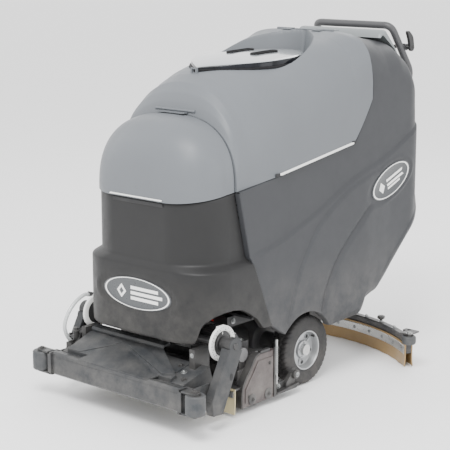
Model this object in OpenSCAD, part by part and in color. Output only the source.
// Walk-behind battery floor scrubber with a front carpet-extraction shoe.
// Millimetres. +Z is up, -Y is the front of the machine and +X the driver's left.
// The origin is on the floor, under the middle of the machine's box.
// Every module is drawn with y = 0 at the drive axle, and at_axle() puts it in place.

/* [Machine] */
// Where the drive axle lies behind the origin
axle_y = -8; // [-30:0.5:30]
// Outer width of the lower body
body_w = 600; // [560:2:620]
// Wall of the moulded body shells
wall = 8; // [4:1:12]
// Thickness of the lower side panels
panel_t = 14; // [10:1:18]

/* [Wheels] */
// Diameter of the two drive wheels
drive_d = 254; // [240:1:260]
// Width of a drive tyre
drive_w = 75; // [60:1:80]
// Outer face of a drive tyre from the middle
drive_face = 267; // [262:1:280]
// Diameter of the two rear casters
caster_d = 100; // [80:1:110]

/* [Scrub deck] */
// Diameter of each cylindrical brush over its bristles
brush_d = 82; // [70:1:84]
// Length of the brushes
brush_len = 540; // [480:5:548]

/* [Extraction shoe] */
// Half of the width over the bumper rollers
shoe_half = 397; // [380:1:410]
// Height of the shoe's front beam
beam_h = 80; // [60:1:90]

/* [Squeegee] */
// Half of the chord of the curved squeegee
squeegee_half = 425; // [380:5:440]
// How far the middle of the squeegee bows back
squeegee_bow = 150; // [110:5:170]

/* [Hidden] */
$fn = 64;
fit = 0.05;             // radial running clearance of a pin in its bore
joint_gap = 0.3;        // gap between two shells that bolt together
grey = "#a3a9ad";
dark = "#54565a";
black = "#222325";

// Body
half = body_w / 2;
cowl_front = -585;
cowl_corner = 140;
belt_z = 522;           // height of the ridge between the wide belt and the upper cowl
upper_half = 268;
upper_front = -574;
parting_front = [-400, 754];
parting_slope = 0.15;   // rise of the line between the dark body and the light tank
cowl_back = [[-402, 800], [-352, 530], [-250, 262]];
rear_half_corner = 120;
rear_face = 702;

bay_back = 240;         // rear end of the battery bay
head_z = 967;           // joint between the solution tank and the operator's head
drain_at = [150, 430];
drain_r = 19;

// Tank and hatch
hatch_back = -402;
tank_front = -396;
tank_back = 331;
hatch_wall = 5;
tank_pivot = [305, 1237];
hatch_pivot = [-394, 1004];
lid_half_len = 285;
lid_half_w = 178;
lid_shift = -10;        // middle of the lid along the machine
lid_rise = 0.035;       // rise of the lid's rim towards the rear, per unit of length
lid_mid_z = 1140;       // height of the lid's rim at y = 0
lid_hinge_y = -299;     // the lid is hinged at its front tip
lid_dome_r = 1000;
lid_dome_h = 42;        // height of the lid's top over its rim

// Running gear
drive_r = drive_d / 2;
axle_r = 12;
rim_r = 70;
caster_at = [90, 200];
caster_trail = 30;
caster_axle_r = 6;
kingpin_r = 8;
caster_r = caster_d / 2;

// Scrub deck
brush_y = [-350, -266];
brush_z = brush_d / 2 + 3;
plate_x = 283;          // inner face of a deck end plate

// Shoe
shoe_pivot = [-495, 272];
shoe_pin_r = 12;
beam_z = 88;
roller_at = [shoe_half - 34, -695];

// Squeegee
squeegee_mid = 560;
squeegee_r = (pow(squeegee_half, 2) + pow(squeegee_bow, 2)) / (2 * squeegee_bow);
squeegee_a = asin(squeegee_half / squeegee_r);
swivel_y = 315;
lift_pin = [365, 150];

paddle_pivot = [700, 1158];

// Operator's panel: a point on its face and the angle that its normal leans back
panel_mid = [640, 1121];
panel_lean = 54.3;

function parting(y) = parting_front[1] + parting_slope * (y - parting_front[0]);
function lid_z(y) = lid_mid_z + lid_rise * y;
// How far the seam behind the tank leans forward above its widest point.
function seam_lean(y, z) = 34 * min(1, max(0, (z - 1060) / 130)) * min(1, max(0, (y - 200) / 130));
function signed_pow(v, e) = sign(v) * pow(abs(v), e);
// One arch-shaped ring across the machine: flat at z_low, superelliptic over the top.
function arch_ring(y, w, z_low, z_high, p, n) =
    [for (i = [0:n]) let (t = 180 * i / n)
        let (z = z_low + (z_high - z_low) * pow(sin(t), 2 / p))
        [w * signed_pow(cos(t), 2 / p), y - seam_lean(y, z), z]];

module at_axle() translate([0, axle_y, 0]) children();

module both() {
    children();
    mirror([1, 0, 0]) children();
}

module box(x, y, z) {
    translate([x[0], y[0], z[0]]) cube([x[1] - x[0], y[1] - y[0], z[1] - z[0]]);
}

module side_prism(outline, x) {
    translate([x[0], 0, 0]) rotate([90, 0, 90]) linear_extrude(x[1] - x[0]) polygon(outline);
}

module rod_x(x, at, r) {
    translate([x[0], at[0], at[1]]) rotate([0, 90, 0]) cylinder(h = x[1] - x[0], r = r);
}

module post(at, z, r) translate([at[0], at[1], z[0]]) cylinder(h = z[1] - z[0], r = r);

module bar(a, b, r) {
    d = b - a;
    translate(a) rotate([0, acos(d[2] / norm(d)), atan2(d[1], d[0])]) cylinder(h = norm(d), r = r);
}

module loft(rings) {
    n = len(rings[0]);
    m = len(rings);
    sides = [for (j = [0:m - 2]) for (i = [0:n - 1]) let (k = (i + 1) % n)
        each [[j * n + i, j * n + k, (j + 1) * n + k], [j * n + i, (j + 1) * n + k, (j + 1) * n + i]]];
    first = [for (i = [n - 1:-1:0]) i];
    last = [for (i = [0:n - 1]) (m - 1) * n + i];
    polyhedron(points = [for (r = rings) each r], faces = concat([first], sides, [last]));
}

// A plan outline with round front and rear corners.
module plan(w, front, back, r_front, r_back) {
    square_h = [front + r_front, back - r_back];
    translate([-w, square_h[0]]) square([2 * w, square_h[1] - square_h[0]]);
    translate([-w + r_front, front]) square([2 * (w - r_front), r_front + 1]);
    translate([-w + r_back, back - r_back - 1]) square([2 * (w - r_back), r_back + 1]);
    for (s = [-1, 1]) {
        translate([s * (w - r_front), front + r_front]) circle(r_front);
        translate([s * (w - r_back), back - r_back]) circle(r_back);
    }
}

module plan_prism(z, w, front, back, r_front, r_back) {
    translate([0, 0, z[0]]) linear_extrude(z[1] - z[0]) plan(w, front, back, r_front, r_back);
}

// Both halves of the almond-shaped lid outline, from two arcs.
module almond(half_len, half_w) {
    r = (pow(half_len, 2) + pow(half_w, 2)) / (2 * half_w);
    intersection() {
        translate([r - half_w, 0]) circle(r, $fn = 180);
        translate([half_w - r, 0]) circle(r, $fn = 180);
    }
}

// Draws its children level with the lid's rim.
module on_lid() translate([0, 0, lid_mid_z]) rotate([atan(lid_rise), 0, 0]) children();

// Draws its children on the operator's panel: x across, y up the panel, z out of it.
module on_panel(x, up) {
    translate([x, panel_mid[0], panel_mid[1]]) rotate([-panel_lean, 0, 0]) translate([0, up, 0])
        children();
}

// The route again, with each inner corner cut back by reach and rounded in steps.
function rounded(pts, reach, steps) = [for (i = [0:len(pts) - 1])
    let (p = pts[i], first = i == 0, last = i == len(pts) - 1)
    each first || last ? [p] :
        let (u = pts[i - 1] - p, v = pts[i + 1] - p,
            a = p + u * min(reach / norm(u), 0.45), b = p + v * min(reach / norm(v), 0.45))
        [for (k = [0:steps]) let (t = k / steps)
            pow(1 - t, 2) * a + 2 * t * (1 - t) * p + pow(t, 2) * b]];

// A tube along a route, as one closed mesh. up is roughly square to the whole route.
module tube(route, r, sides, up) {
    n = len(route);
    heading = [for (i = [0:n - 1])
        let (d = route[min(i + 1, n - 1)] - route[max(i - 1, 0)]) d / norm(d)];
    rings = [for (i = [0:n - 1])
        let (t = heading[i], u = up - (up * t) * t, a = u / norm(u), b = cross(t, a))
        [for (k = [0:sides - 1]) route[i] + r * (cos(360 * k / sides) * a
            + sin(360 * k / sides) * b)]];
    loft([for (ring = rings) [for (k = [sides - 1:-1:0]) ring[k]]]);
}

// ---------------------------------------------------------------- frame and body

module chassis_frame() at_axle() color("#3a3b3d") difference() {
    union() {
        both() {
            box([142, 176], [-330, 330], [264, 300]);
            box([142, 176], [-34, 34], [92, 265]);
            box([126, 143], [170, 240], [128, 272]);
            box([60, 94], [-460, -300], [264, 300]);
            box([270, 290], [-515, -448], [252, 292]);
        }
        box([-290, 290], [-476, -448], [262, 290]);
        for (y = [-330, -252]) box([-143, 143], [y, y + 34], [270, 315]);
        box([-143, 143], [296, 330], [270, 300]);
        box([-285.7, 285.7], [-330, 239], [314, 322]);
        box([-127, 127], [170, 240], [128, 138]);
        post([0, swivel_y], [132, 271], 10);
        rod_x([-343, 343], shoe_pivot, shoe_pin_r);
    }
    rod_x([-180, 180], [0, drive_r], axle_r);
    both() post(caster_at, [120, 150], kingpin_r + fit);
}

module cowl_outline(back_x) {
    side_prism([[-620, 262], cowl_back[2], cowl_back[1],
        [cowl_back[0][0] + 7, parting(cowl_back[0][0]) - 2], [-620, parting(-620) - 2]],
        [-back_x, back_x]);
}

module front_cowl() at_axle() color(dark) difference() {
    intersection() {
        union() {
            plan_prism([265, belt_z], half, cowl_front, -100, cowl_corner, 5);
            plan_prism([belt_z - 1, 900], upper_half, upper_front, -100, 150, 5);
        }
        cowl_outline(half + 1);
    }
    plan_prism([200, belt_z - wall], half - wall, cowl_front + wall, 0, cowl_corner - wall, 5);
    plan_prism([200, 901], upper_half - wall, upper_front + wall, 0, 150 - wall, 5);
    both() side_prism([[-700, 200], [-700, 345], [-568, 345], [-545, 366], [-404, 368],
        [-350, 325], [-328, 281], [-328, 200]], [185, half + 5]);
}

housing_side = [
    [-396, parting(-396) - 2], [-345, 530], [-244, 283], [-170, 236], [-150, 224], [90, 213],
    [345, 212], [420, 275], [560, 410], [640, 490], [676, 565], [692, 650], [rear_face, 760],
    [rear_face, 900], [690, 1000], [655, 1075], [600, 1150], [540, 1196], [460, 1202],
    [400, 1218], [313, 1235], [313, 1192], [347, 1062], [347, 1010], [334, 982], [292, 924],
    [236, parting(236) - 2]
];
solution_void = [
    [254, 330], [468, 330], [632, 500], [668, 575], [684, 655], [694, 760], [694, 900], [684, 960],
    [336, 960], [290, 905], [254, 840]
];
console_void = [
    [356, 975], [684, 975], [645, 1068], [592, 1140], [535, 1184], [460, 1192], [400, 1206],
    [356, 1212]
];
panel_opening = [[560, 1130], [628, 1040], [700, 1090], [620, 1200]];

module rear_arch(w, z_high) {
    points = [for (q = arch_ring(0, w, 600, z_high, 5, 40)) [q[0], q[2]]];
    below = [[-w, 100], [w, 100]];
    translate([0, 900, 0]) rotate([90, 0, 0]) linear_extrude(1400) polygon(concat(points, below));
}

// The outside of the rear housing, panels and head together, between two heights.
module rear_outline(y, z) intersection() {
    side_prism(housing_side, [-half, half]);
    plan_prism([100, 1300], half, -500, rear_face, 20, rear_half_corner);
    rear_arch(half, 1238);
    box([-half, half], y, z);
}

module side_panels() at_axle() color(dark) difference() {
    rear_outline([-400, bay_back - joint_gap], [100, 1300]);
    box([panel_t - half, half - panel_t], [-420, bay_back], [100, 900]);
    rod_x([-half - 1, half + 1], [-45, 130], 158);
}

// The rear body, which is the clean solution tank.
module main_housing() at_axle() color(dark) difference() {
    union() {
        rear_outline([bay_back, rear_face], [100, head_z]);
        post(drain_at, [250, 335], 27);
    }
    box([-285, 285], [0, 345], [100, 314]);
    intersection() {
        side_prism(solution_void, [-290, 290]);
        plan_prism([100, 1300], half - wall, -500, rear_face - wall, 20,
            rear_half_corner - wall);
    }
    translate([-120, rear_face + 1, 840]) rotate([90, 0, 0]) cylinder(h = 20, r = 42);
    post(drain_at, [200, 400], drain_r);
}

module head_shell() at_axle() color(dark) difference() {
    rear_outline([bay_back, rear_face], [head_z + joint_gap, 1300]);
    side_prism(panel_opening, [-150, 150]);
    intersection() {
        side_prism(console_void, [-180, 180]);
        plan_prism([100, 1300], half - wall, -500, rear_face - wall, 20,
            rear_half_corner - wall);
    }
}

module fill_cap() at_axle() color(black) {
    translate([-120, rear_face + 16, 840]) rotate([90, 0, 0]) cylinder(h = 15.5, r = 52);
    translate([-120, rear_face + 1, 840]) rotate([90, 0, 0]) cylinder(h = 8, r = 38);
    box([-134, -106], [rear_face + 4, rear_face + 16], [884, 902]);
    rod_x([-134, -106], [rear_face + 10, 902], 6);
}

module batteries() at_axle() color("#3c4046") {
    for (sx = [-1, 1]) for (y0 = [-258, -8]) {
        box([sx * 94 - 90.5, sx * 94 + 90.5], [y0, y0 + 244], [322.5, 560]);
        box([sx * 94 - 86, sx * 94 + 86], [y0 + 5, y0 + 239], [559, 590]);
        for (k = [40, 204]) post([sx * 94 - 60, y0 + k], [589, 608], 9);
    }
}

module vacuum_motor() at_axle() color("#4a4d52") {
    post([60, 470], [980, 1040], 62);
    post([60, 470], [1039, 1120], 45);
    post([60, 470], [1119, 1135], 18);
    box([-150, -40], [410, 530], [980, 1060]);
}

module solution_pump() at_axle() color(black) {
    rod_x([-70, 30], [-230, 235], 30);
    rod_x([29, 60], [-230, 235], 22);
    box([-60, 20], [-250, -210], [258, 269.5]);
}

// ---------------------------------------------------------------- running gear

module drive_axle() at_axle() color("silver") {
    rod_x([-262, 262], [0, drive_r], axle_r);
    both() rod_x([drive_face - 10, drive_face - 4], [0, drive_r], 20);
}

module transaxle() at_axle() color("#5a5d60") difference() {
    union() {
        rod_x([-70, 70], [0, drive_r], 66);
        rod_x([-138, 138], [0, drive_r], 34);
        bar([0, -40, drive_r], [0, -205, drive_r], 52);
    }
    rod_x([-150, 150], [0, drive_r], axle_r);
}

module tyre() color(black) rotate([0, 90, 0]) rotate_extrude($fn = 128) difference() {
    union() {
        translate([rim_r, -drive_w / 2]) square([drive_r - rim_r - 9, drive_w]);
        translate([drive_r - 20, -drive_w / 2 + 9]) square([20, drive_w - 18]);
        for (s = [-1, 1]) translate([drive_r - 9, s * (drive_w / 2 - 9)]) circle(9);
    }
    for (k = [-1, 0, 1]) translate([drive_r - 4, k * 17 - 1.5]) square([5, 3]);
}

module rim() color("#c9ccce") rotate([0, 90, 0]) difference() {
    union() {
        rotate_extrude() {
            translate([60, -drive_w / 2 + 2]) square([rim_r - 60, drive_w - 4]);
            translate([30, 4]) square([31, 6]);
            translate([axle_r + fit, -drive_w / 2 + 2]) square([34 - axle_r, drive_w - 14]);
        }
        for (k = [0:4]) rotate(72 * k + 20) translate([44, 0, 9.5]) cylinder(h = 8, r = 6, $fn = 6);
    }
    for (k = [0:4]) rotate(72 * k + 56) translate([46, 0, 0]) cylinder(h = 20, r = 7);
}

module wheel_place(s) {
    at_axle() translate([s * (drive_face - drive_w / 2), 0, drive_r]) mirror([s < 0 ? 1 : 0, 0, 0])
        children();
}
module left_tyre() wheel_place(1) tyre();
module left_rim() wheel_place(1) rim();
module right_tyre() wheel_place(-1) tyre();
module right_rim() wheel_place(-1) rim();

module caster_fork() color("#b8bbbe") {
    post([0, 0], [114, 120], 38);
    post([0, 0], [119, 137], kingpin_r);
    post([0, 0], [120, 127.5], 20);
    for (s = [-1, 1]) side_prism([[-24, 116], [30, 116], [46, 60], [46, 36], [22, 36], [-10, 80]],
        [s * 21 - 2.5, s * 21 + 2.5]);
    rod_x([-27, 27], [caster_trail, caster_r], caster_axle_r);
}

module caster_wheel() color(black) translate([0, caster_trail, caster_r]) rotate([0, 90, 0])
    rotate_extrude() difference() {
        translate([caster_axle_r + fit, -16]) square([caster_r - caster_axle_r - fit, 32]);
        for (s = [-1, 1]) translate([26, s * 16 - 4]) square([8, 8]);
    }

module caster_place(s) at_axle() translate([s * caster_at[0], caster_at[1], 0]) children();
module left_caster_fork() caster_place(1) caster_fork();
module left_caster_wheel() caster_place(1) caster_wheel();
module right_caster_fork() caster_place(-1) caster_fork();
module right_caster_wheel() caster_place(-1) caster_wheel();

// ---------------------------------------------------------------- tank, hatch and lid

// Height of the tank's crown, along the machine.
crown = [[tank_front, 990], [-388, 1030], [-376, 1062], [-353, 1093], [-309, 1117], [-250, 1135],
    [-150, 1157], [0, 1186], [100, 1205], [170, 1217], [250, 1228], [300, 1235], [324, 1235],
    [tank_back, 1226]];
// How square the tank's shoulders are, along the machine.
shoulder = [[tank_front, 2.5], [0, 2.7], [100, 3.2], [170, 3.7], [250, 4.3], [tank_back, 5]];
function tank_w(y) = 276 + 18 * min(1, (y + 396) / 220);
function tank_p(y) = lookup(y, shoulder);
function tank_low(y) = max(parting(y) + 2,
    y > 228 ? 858 + 1.12 * (y - 228) + 0.0028 * pow(y - 228, 2) : 0);
function crown_z(y) = lookup(y, crown);

module recovery_tank() at_axle() color(grey) difference() {
    loft([for (y = [-396, -388, -376, -353, -309, -250, -150, 0, 150, 236, 270, 300, 324, 331])
        arch_ring(y, tank_w(y), tank_low(y), crown_z(y), tank_p(y), 24)]);
    loft([for (y = [-384, -353, -309, -250, -150, 0, 150, 236, 270, 300, 318])
        arch_ring(y, tank_w(y) - wall, tank_low(y) + wall,
            min(crown_z(y) - 2 * wall, lid_z(y) - 22), tank_p(y), 20)]);
    rod_x([-61, 61], hatch_pivot, 6);
    on_lid() translate([0, lid_shift, -8]) linear_extrude(200)
        almond(lid_half_len + 8, lid_half_w + 5);
    on_lid() translate([0, lid_shift, -60]) linear_extrude(80)
        almond(lid_half_len - 60, lid_half_w - 45);
}

module tank_grips() at_axle() color("white") both() {
    side_prism([[-200, parting(-200) + 2], [228, parting(228) + 2], [228, parting(228) + 8],
        [-200, parting(-200) + 8]], [294.5, 299]);
}

function nose_w(y) = 115 + 150 * sqrt(max(0, 1 - pow((-435 - min(y, -435)) / 150, 2)))
    + 5 * max(0, (y + 435) / 35);
function nose_z(y) = 731 + 262 * pow(max(0, 1 - pow(max(0, (-398 - y) / 187.2), 2.7)), 1 / 2.7);
nose_stations = [-585, -583, -578, -570, -558, -540, -515, -485, -450, -425, hatch_back];

module front_hatch() at_axle() color(grey) difference() {
    loft([for (y = nose_stations) arch_ring(y, nose_w(y), parting(y) + 2, nose_z(y), 2.6, 24)]);
    loft([for (y = [-579, -572, -558, -540, -515, -485, -450, -425, hatch_back + 5])
        arch_ring(y, nose_w(y) - hatch_wall - 1, 640, nose_z(y) - hatch_wall - 1, 2.6, 24)]);
}

module hatch_grip() at_axle() color("white") box([-118, 118], [-591, -585.2], [733, 739]);

module tank_lid() at_axle() color("#c4c8cb") difference() {
    on_lid() intersection() {
        translate([0, lid_shift, 0.2]) linear_extrude(60) almond(lid_half_len, lid_half_w);
        translate([0, lid_shift, lid_dome_h - lid_dome_r]) sphere(lid_dome_r, $fn = 180);
    }
    on_lid() intersection() {
        translate([0, lid_shift, -5]) linear_extrude(60) almond(lid_half_len - 24, lid_half_w - 15);
        translate([0, lid_shift, lid_dome_h - 5 - lid_dome_r]) sphere(lid_dome_r, $fn = 180);
    }
    for (s = [-1, 1]) translate([s * 55, 5, 1100]) linear_extrude(200) {
        translate([-11, -52]) square([22, 104]);
        for (e = [-1, 1]) translate([0, e * 52]) circle(11);
    }
    rod_x([-20, 20], [lid_hinge_y, lid_z(lid_hinge_y) + 5], 9);
}

module lid_gasket() at_axle() color(black) on_lid() translate([0, lid_shift, -7.8]) linear_extrude(7.8)
    difference() {
        almond(lid_half_len - 1, lid_half_w - 1);
        almond(lid_half_len - 40, lid_half_w - 26);
    }

module knuckle(x, at, r_out, r_in) difference() {
    rod_x(x, at, r_out);
    rod_x([x[0] - 1, x[1] + 1], at, r_in);
}

module tank_hinge() at_axle() color(black) {
    rod_x([-130, 130], tank_pivot, 2.5);
    both() {
        knuckle([91, 130], tank_pivot, 4.5, 2.4);
        box([91, 130], [308, 340], [1236, 1238.5]);
    }
}

// Everything hinged that is screwed to the recovery tank.
module tank_fittings() at_axle() color(black) {
    both() {
        knuckle([50, 90], tank_pivot, 4.5, 2.5 + fit);
        difference() {
            box([50, 90], [276, 302], [1236, 1238.5]);
            rod_x([40, 100], tank_pivot, 3.5);
        }
        knuckle([61, 90], hatch_pivot, 4.5, 2.4);
        box([61, 90], [-391, -384], [1001, 1004]);
    }
    rod_x([-90, 90], hatch_pivot, 2.5);
    for (s = [-1, 1]) box([s * 11 - 3, s * 11 + 3], [lid_hinge_y - 4, lid_hinge_y + 4],
        [lid_z(lid_hinge_y) - 14, lid_z(lid_hinge_y) + 8]);
    rod_x([-14, 14], [lid_hinge_y, lid_z(lid_hinge_y) + 5], 2.5);
}

module hatch_leaf() at_axle() color(black) {
    knuckle([-60, 60], hatch_pivot, 4.5, 2.5 + fit);
    difference() {
        box([-60, 60], [-420, -396], [996, 999]);
        rod_x([-70, 70], hatch_pivot, 3.5);
    }
}

// ---------------------------------------------------------------- operator's end

module console() at_axle() color("#9fa6a9") difference() {
    side_prism([[502, 1204], [524, 1232], [546, 1229], [612, 1161], [668, 1083], [698, 1020],
        [682, 1020], [656.5, 1077], [601, 1152], [541, 1198.5], [502, 1203]], [-200, 200]);
    for (x = [-120, -72, -24]) on_panel(x, 10) translate([0, 0, -13]) cylinder(h = 14, r = 14);
    on_panel(92, 10) translate([0, 0, -13]) cylinder(h = 14, r = 24);
    on_panel(150, -18) translate([0, 0, -13]) cylinder(h = 14, r = 15);
    on_panel(-165, 14) translate([0, 0, -13]) cylinder(h = 14, r = 10);
    on_panel(28, 8) translate([-22, -24, -3]) cube([44, 48, 5]);
}

module console_display() at_axle() color(black) on_panel(28, 8) translate([-21.5, -23.5, -2.8])
    cube([43, 47, 2.6]);

module panel_button(x, tint) at_axle() color(tint) on_panel(x, 10) {
    translate([0, 0, -7]) cylinder(h = 11, r = 13.6);
}
module brush_button() panel_button(-120, "#2f6f9f");
module solution_button() panel_button(-72, "#2f6f9f");
module vacuum_button() panel_button(-24, "#2f6f9f");

module emergency_stop() at_axle() color("#b3201c") on_panel(92, 10) {
    translate([0, 0, -3]) cylinder(h = 14, r = 12);
    translate([0, 0, 10]) cylinder(h = 12, r = 20);
}

module speed_dial() at_axle() color(black) on_panel(150, -18) {
    translate([0, 0, -10]) cylinder(h = 24, r = 14.5);
    translate([-2, 0, 13]) cube([4, 13, 3]);
}

module key_switch() at_axle() color("silver") on_panel(-165, 14) {
    translate([0, 0, -10]) cylinder(h = 16, r = 9.5);
    translate([-1.5, -11, 5]) cube([3, 22, 24]);
}

handle_pts = [[180, 706, 996], [180, 739, 1059], [180, 600, 1244]];

module handle_bar() at_axle() color("#4b4d50") {
    legs = handle_pts;
    n = len(legs);
    route = concat(legs, [for (i = [n - 1:-1:0]) [-legs[i][0], legs[i][1], legs[i][2]]]);
    tube(rounded(route, 34, 5), 14, 16, [0, 0.8, 0.6]);
    both() {
        box([160, 200], [694.5, 716], [976, 1016]);
        difference() {
            side_prism([[655, 1150], [700, 1145], [709, 1152], [709, 1164], [700, 1171],
                [655, 1180]], [172, 188]);
            rod_x([170, 190], paddle_pivot, 7 + fit);
        }
    }
}

module drive_paddle() at_axle() color(black) {
    rod_x([-212, 212], paddle_pivot, 7);
    both() side_prism([[690, 1148], [712, 1150], [706, 1196], [676, 1222], [664, 1216]],
        [200, 212]);
    both() rod_x([201, 211], paddle_pivot, 15);
}

module badges() at_axle() color("#8a8f93") {
    translate([0, -585.2, 406]) rotate([90, 0, 0]) linear_extrude(2.8)
        scale([1.5, 0.5]) circle(100, $fn = 96);
    both() translate([300.2, 452, 686]) rotate([90, 0, 90]) linear_extrude(2.3)
        rotate(20) scale([1.25, 0.55]) circle(100, $fn = 96);
}

// ---------------------------------------------------------------- scrub deck

module deck_housing() at_axle() color("#2c2d2f") difference() {
    union() {
        box([-282, 282], [-398, -216], [96, 150]);
        box([-272, 272], [-380, -240], [149, 178]);
        both() box([196, 236], [-330, -290], [177, 226]);
    }
    for (y = brush_y) rod_x([-275, 275], [y, brush_z], brush_d / 2 + 6);
    box([-275, 275], [-390, -224], [90, 110]);
}

module deck_end_plates() at_axle() color("#4a4040") difference() {
    both() {
        side_prism([[-396, 22], [-225, 22], [-222, 190], [-312, 190], [-340, 168], [-380, 120],
            [-396, 84]], [plate_x, 303]);
        box([303, 309], [-236, -222], [22, 228]);
    }
    for (y = brush_y) rod_x([-400, 400], [y, brush_z], 8 + fit);
}

module brush(y) at_axle() color("#1d1e20") {
    rod_x([-brush_len / 2, brush_len / 2], [y, brush_z], brush_d / 2 - 14);
    rod_x([-300, 300], [y, brush_z], 8);
    for (k = [0:7]) for (s = [-1, 1]) translate([0, y, brush_z]) rotate([45 * k + 11 * s, 0, 0])
        translate([s > 0 ? 0 : -brush_len / 2, -3, 0]) cube([brush_len / 2, 6, brush_d / 2]);
}
module front_brush() brush(brush_y[0]);
module rear_brush() brush(brush_y[1]);

module brush_motors() at_axle() color(black) both() {
    rod_x([150, 255], [-408, 252], 36);
    rod_x([254, 272], [-408, 252], 26);
    box([160, 250], [-408, -345], [178.5, 240]);
}

module side_guards() at_axle() color(black) both() {
    side_prism([[-219, 26], [-112, 26], [-100, 36], [-100, 84], [-120, 90], [-150, 58],
        [-219, 58]], [284, 308]);
    rod_x([309, 316], [-112, 72], 13);
    bar([293, -205, 55], [293, -205, 218], 3.5);
}

module deck_skirt() at_axle() color("#d9c58e") {
    box([-309, 309], [-446, -440], [13, 100]);
}

// ---------------------------------------------------------------- extraction shoe

module shoe_frame() at_axle() color("#6b6d70") difference() {
    union() {
        box([-309, 309], [-704, -668], [beam_z, beam_z + beam_h]);
        both() {
            box([314, 320], [-694, -560], [80, 160]);
            box([296, 320], [-700, -660], [beam_z + 4, beam_z + beam_h - 4]);
            side_prism([[-602, 62], [-560, 58], [-466, 258], [-472, 290], [-495, 300],
                [-515, 290], [-524, 268], [-604, 110]], [334, 340]);
            side_prism([[-602, 62], [-596, 62], [-518, 268], [-524, 268], [-604, 110]], [340, 356]);
            box([318, 336], [-612, -560], [80, 120]);
            post(roller_at, [94, 168], 7);
            box([310, roller_at[0] + 12], [-712, -678], [beam_z + beam_h - 6, beam_z + beam_h]);
            box([310, roller_at[0] + 12], [-712, -678], [beam_z - 6, beam_z]);
            rod_x([304, 336], shoe_pivot, 24);
        }
    }
    rod_x([-400, 400], shoe_pivot, shoe_pin_r + fit);
    both() rod_x([330, 345], [-516, 174], 7);
}

module shoe_cover() at_axle() color("#515458") {
    difference() {
        side_prism([[-667.5, 110], [-540, 48], [-500, 48], [-500, 60], [-540, 190], [-540, 200],
            [-667.5, 168]], [-286, 286]);
        side_prism([[-655, 110], [-540, 54], [-515, 40], [-505, 40], [-508, 60], [-548, 182],
            [-655, 158]], [-280, 280]);
    }
    side_prism([[-640, 174], [-540, 199.5], [-525, 204], [-525, 228], [-548, 228], [-640, 184]],
        [-255, 85]);
}

module bumper_roller() color("#62666b") difference() {
    post(roller_at, [94.5, 161.5], 33);
    post(roller_at, [90, 170], 7 + fit);
}
module left_bumper_roller() at_axle() bumper_roller();
module right_bumper_roller() at_axle() mirror([1, 0, 0]) bumper_roller();

module dial_scales() at_axle() color("#dfe0da") both() difference() {
    rod_x([293, 303], shoe_pivot, 60);
    rod_x([290, 310], shoe_pivot, 42);
}

module dial_knob() color(black) {
    difference() {
        union() {
            rod_x([293, 300], shoe_pivot, 41.5);
            rod_x([299, 303.5], shoe_pivot, 30);
        }
        rod_x([290, 310], shoe_pivot, shoe_pin_r + fit);
    }
}
module left_dial_knob() at_axle() dial_knob();
module right_dial_knob() at_axle() mirror([1, 0, 0]) dial_knob();

spray_route = [[-318, -505, 330], [-318, -530, 335], [-318, -560, 325], [-318, -590, 305],
    [-318, -615, 275], [-318, -628, 240], [-318, -618, 205], [-318, -600, 180]];
module spray_hose() at_axle() color("#d5d9db") tube(spray_route, 7, 10, [1, 0, 0]);

// ---------------------------------------------------------------- squeegee

module squeegee_arm() at_axle() color("#3a3b3d") difference() {
    union() {
        post([0, swivel_y], [138, 176], 24);
        box([-30, 30], [swivel_y + 14, 345], [140, 174]);
        both() side_prism([[340, 138], [378, 138], [378, 162], [360, 174], [340, 174]], [22, 30]);
        rod_x([-32, 32], lift_pin, 6);
    }
    post([0, swivel_y], [130, 180], 10 + fit);
}

module squeegee_arc(r, z) {
    translate([0, squeegee_mid - squeegee_r, z[0]]) rotate([0, 0, 90 - squeegee_a])
        rotate_extrude(angle = 2 * squeegee_a, $fn = 180) translate([squeegee_r + r[0], 0])
        square([r[1] - r[0], z[1] - z[0]]);
}

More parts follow.
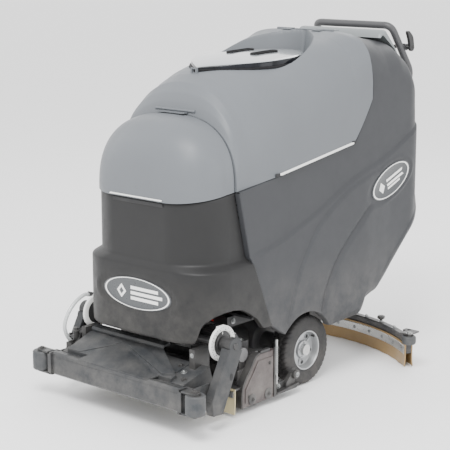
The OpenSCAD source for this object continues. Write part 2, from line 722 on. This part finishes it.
module squeegee_frame() at_axle() color("#2b2c2e") difference() {
    union() {
        squeegee_arc([-14, 14], [92, 112]);
        squeegee_arc([-10, 10], [50, 93]);
        side_prism([[347, 139], [347, 160], [480, 168], [562, 112], [562, 94], [520, 94],
            [470, 139]], [-20, 20]);
        both() {
            box([402, 428], [402, 424], [108, 143]);
            box([418, 460], [362, 424], [137, 143]);
            post([450, 372], [100, 140], 6);
        }
        for (x = [-220, 220]) post([x, squeegee_mid - squeegee_r
            + sqrt(pow(squeegee_r, 2) - pow(x, 2))], [111, 134], 9);
        post([0, 500], [150, 210], 24);
    }
    rod_x([-40, 40], lift_pin, 6 + fit);
}

module squeegee_blades() at_axle() color("#b98a3e") {
    squeegee_arc([-15, -10.2], [1, 86]);
    squeegee_arc([10.2, 15], [1, 86]);
}

module squeegee_roller() color("#6a6e72") difference() {
    post([450, 372], [103, 134], 26);
    post([450, 372], [100, 140], 6 + fit);
}
module left_squeegee_roller() at_axle() squeegee_roller();
module right_squeegee_roller() at_axle() mirror([1, 0, 0]) squeegee_roller();

hose_route = [[0, 500, 211], [0, 500, 250], [0, 500, 290], [0, 500, 325]];
module vacuum_hose() at_axle() color(black) tube(hose_route, 21, 12, [1, 0, 0]);

chassis_frame();
front_cowl();
side_panels();
main_housing();
head_shell();
fill_cap();
batteries();
vacuum_motor();
solution_pump();
drive_axle();
transaxle();
left_tyre();
left_rim();
right_tyre();
right_rim();
left_caster_fork();
left_caster_wheel();
right_caster_fork();
right_caster_wheel();
recovery_tank();
tank_grips();
front_hatch();
hatch_grip();
tank_lid();
lid_gasket();
tank_hinge();
tank_fittings();
hatch_leaf();
console();
console_display();
key_switch();
brush_button();
solution_button();
vacuum_button();
emergency_stop();
speed_dial();
handle_bar();
drive_paddle();
badges();
deck_housing();
deck_end_plates();
front_brush();
rear_brush();
brush_motors();
side_guards();
deck_skirt();
shoe_frame();
shoe_cover();
left_bumper_roller();
right_bumper_roller();
dial_scales();
left_dial_knob();
right_dial_knob();
spray_hose();
squeegee_arm();
squeegee_frame();
squeegee_blades();
left_squeegee_roller();
right_squeegee_roller();
vacuum_hose();
